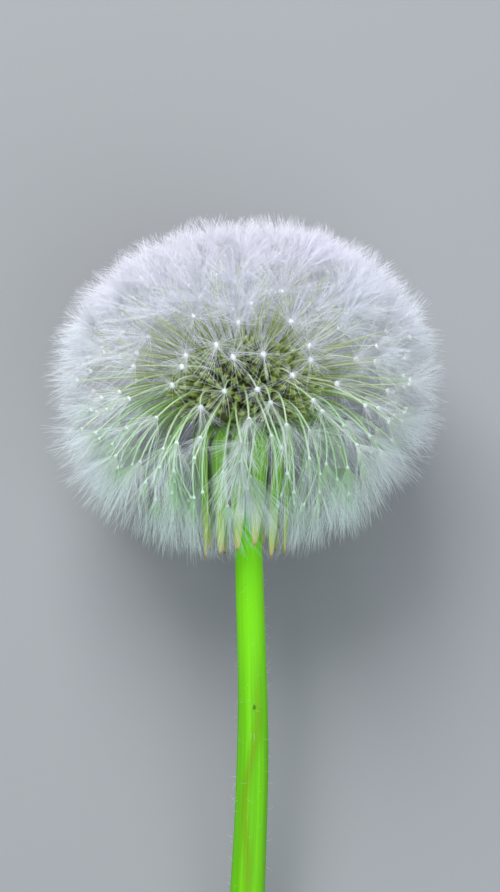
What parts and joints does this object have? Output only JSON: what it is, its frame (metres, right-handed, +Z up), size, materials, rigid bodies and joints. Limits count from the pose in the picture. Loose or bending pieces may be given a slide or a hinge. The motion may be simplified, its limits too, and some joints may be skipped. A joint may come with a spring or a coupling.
{
  "type": "dandelion seed head",
  "caption": "Dandelion seed head lying on its side: a globe of feathery umbrellas around a ball of seeds, folded-back green bracts and a hollow cut stem.",
  "frame": {"origin": "on the surface that the part lies on, under the centre of its bounding box", "axes": "+Y along the flower from the stem's cut end towards the globe, +Z up from the surface, +X to the right seen from above with the globe at the far end"},
  "size_m": [0.0514, 0.115, 0.05],
  "materials": {
    "stem": "fresh smooth green skin with a soft sheen",
    "seeds": "dull, ribbed, olive brown",
    "pappus": "fine silky white bristles",
    "bracts": "thin soft green leaf with dry yellow-brown points"
  },
  "bodies": {
    "root": {"stem": "stem", "receptacle_with_seeds": "seeds", "beaks_with_pappus": "pappus", "inner_bracts": "bracts", "outer_bracts": "bracts"}
  },
  "joints": []
}
